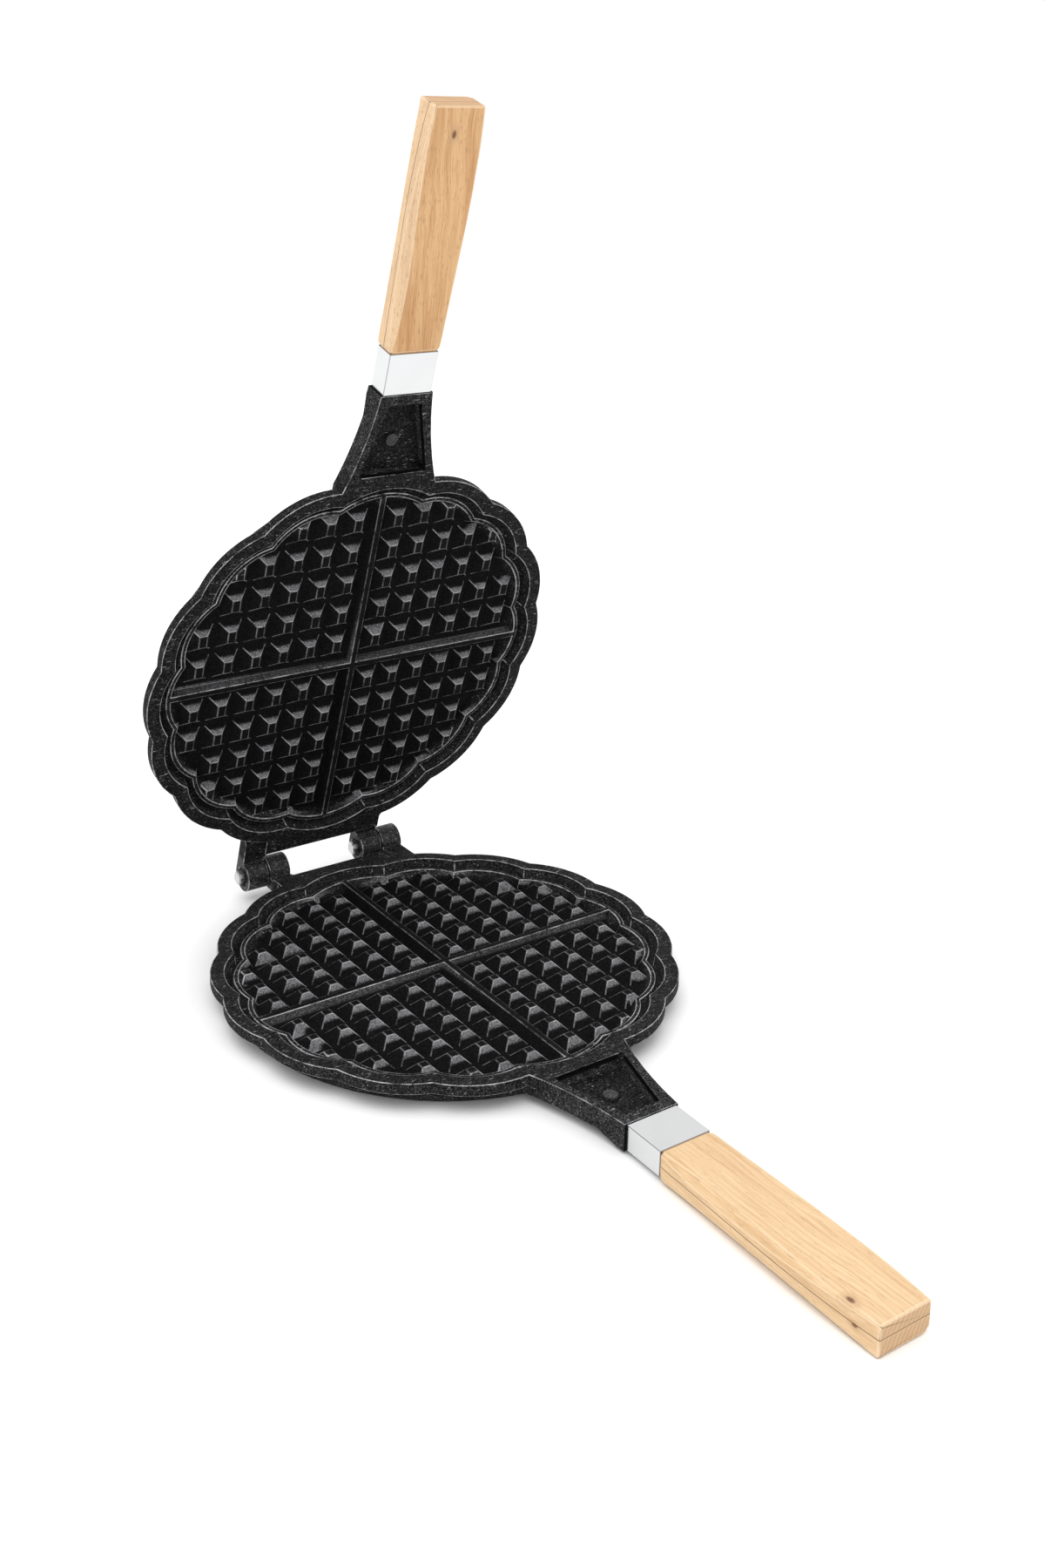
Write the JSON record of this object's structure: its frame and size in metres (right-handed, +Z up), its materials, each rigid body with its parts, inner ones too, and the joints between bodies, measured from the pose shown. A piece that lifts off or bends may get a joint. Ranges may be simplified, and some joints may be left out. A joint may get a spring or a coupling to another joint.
{
  "type": "stovetop waffle iron",
  "caption": "Two hinged round cast plates with a lobed rim and square waffle studs, flared necks, bright ferrules and flat wooden handles.",
  "frame": {"origin": "centre of the lower plate's round foot, on the surface that it stands on", "axes": "+Z up out of the lower plate, -Y along the lower handle, +Y towards the hinge, +X along the hinge pins"},
  "size_m": [0.192, 0.3638, 0.3532],
  "materials": {
    "cast_black": "fine matte black casting skin, worn grey on edges",
    "pin_steel": "bright turned steel",
    "ferrule_metal": "polished",
    "beech": "sanded, lightly oiled pale hardwood",
    "tang_steel": "plain flat bar"
  },
  "bodies": {
    "lower_half": {"lower_plate": "cast_black", "left_hinge_pin": "pin_steel", "right_hinge_pin": "pin_steel", "lower_ferrule": "ferrule_metal", "lower_handle_inner_half": "beech", "lower_handle_outer_half": "beech", "lower_tang": "tang_steel", "lower_tang_dowels": "tang_steel"},
    "upper_half": {"upper_plate": "cast_black", "upper_ferrule": "ferrule_metal", "upper_handle_inner_half": "beech", "upper_handle_outer_half": "beech", "upper_tang": "tang_steel", "upper_tang_dowels": "tang_steel"}
  },
  "joints": [
    {"name": "lid_hinge", "type": "hinge", "parent": "lower_half", "child": "upper_half", "pos_m": [0, 0.108, 0.012], "axis": [-1, 0, 0], "range_deg": [-71, 109]}
  ]
}
